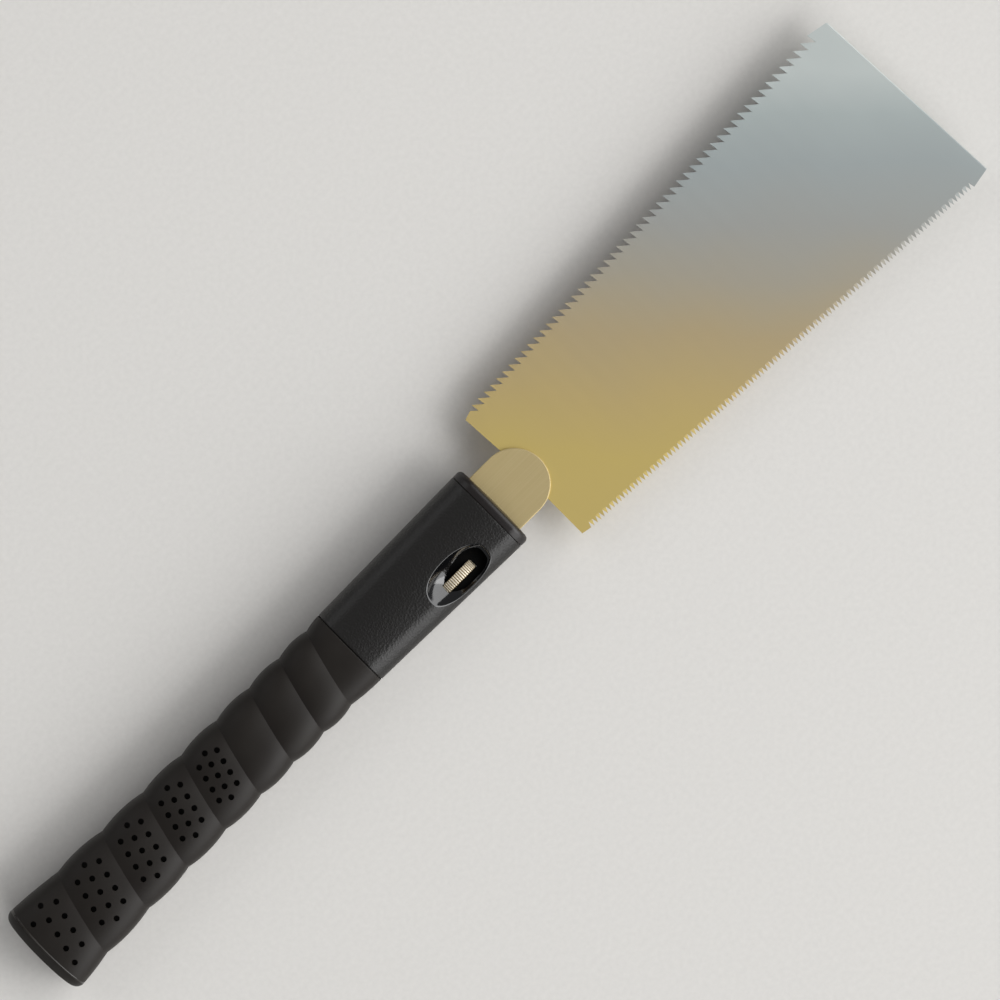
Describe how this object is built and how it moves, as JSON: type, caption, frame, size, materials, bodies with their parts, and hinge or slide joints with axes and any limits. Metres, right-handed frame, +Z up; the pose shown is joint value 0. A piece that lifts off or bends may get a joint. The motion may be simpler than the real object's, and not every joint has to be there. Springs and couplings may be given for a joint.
{
  "type": "ryoba saw",
  "caption": "Japanese double-edged pull saw: a tapering steel blade with rip and crosscut edges, clamped by a thumb wheel in a straight moulded handle with a ribbed rubber grip.",
  "frame": {"origin": "on the surface the saw lies on, under the middle of its bounding box", "axes": "+X along the handle from the butt to the toe, +Y across the blade towards the rip teeth, +Z up, square to the blade"},
  "size_m": [0.4596, 0.0839, 0.025],
  "materials": {
    "blade_steel": "thin rolled saw steel, fine satin ground, pale gold towards the heel",
    "plate_steel": "brushed lengthwise, bright bevelled rim",
    "rivet_steel": "ground flush",
    "housing_plastic": "black moulded plastic, fine leather-like grain, glossy scoop",
    "nose_plastic": "black moulded plastic, smooth satin",
    "grip_rubber": "matte black elastomer",
    "wheel_metal": "nickel-plated, straight knurl",
    "bolt_steel": "bright turned steel",
    "washer_brass": "plain turned",
    "spring_steel": "dark hardened strip",
    "socket_steel": "folded sheet, zinc plated",
    "pin_steel": "ground dowel",
    "screw_steel": "zinc plated",
    "insert_brass": "turned"
  },
  "bodies": {
    "handle": {"front_shell": "housing_plastic", "rear_shell": "housing_plastic", "nose_cap": "nose_plastic", "grip_sleeve": "grip_rubber", "tang_socket": "socket_steel", "stop_pin": "pin_steel", "shell_screws": "screw_steel", "shell_inserts": "insert_brass", "thrust_washer": "washer_brass", "spring_washer": "spring_steel"},
    "wheel": {"thumb_wheel": "wheel_metal"},
    "bolt": {"clamp_bolt": "bolt_steel"},
    "blade": {"blade": "blade_steel", "tang_plate_front": "plate_steel", "tang_plate_rear": "plate_steel", "tang_rivets": "rivet_steel"}
  },
  "joints": [
    {"name": "wheel_turn", "type": "hinge", "parent": "handle", "child": "wheel", "pos_m": [-0.0188, -0.0099, 0.0125], "axis": [0, 1, 0], "range_deg": [0, 450]},
    {"name": "clamp_slide", "type": "slide", "parent": "handle", "child": "bolt", "axis": [0, 1, 0], "range_m": [-0.00102, 0]},
    {"name": "blade_slide", "type": "slide", "parent": "handle", "child": "blade", "axis": [1, 0, 0], "range_m": [0, 0.06]}
  ],
  "couplings": [
    {"joint": "clamp_slide", "follows": "wheel_turn", "m_per_rad": -0.00012732}
  ]
}
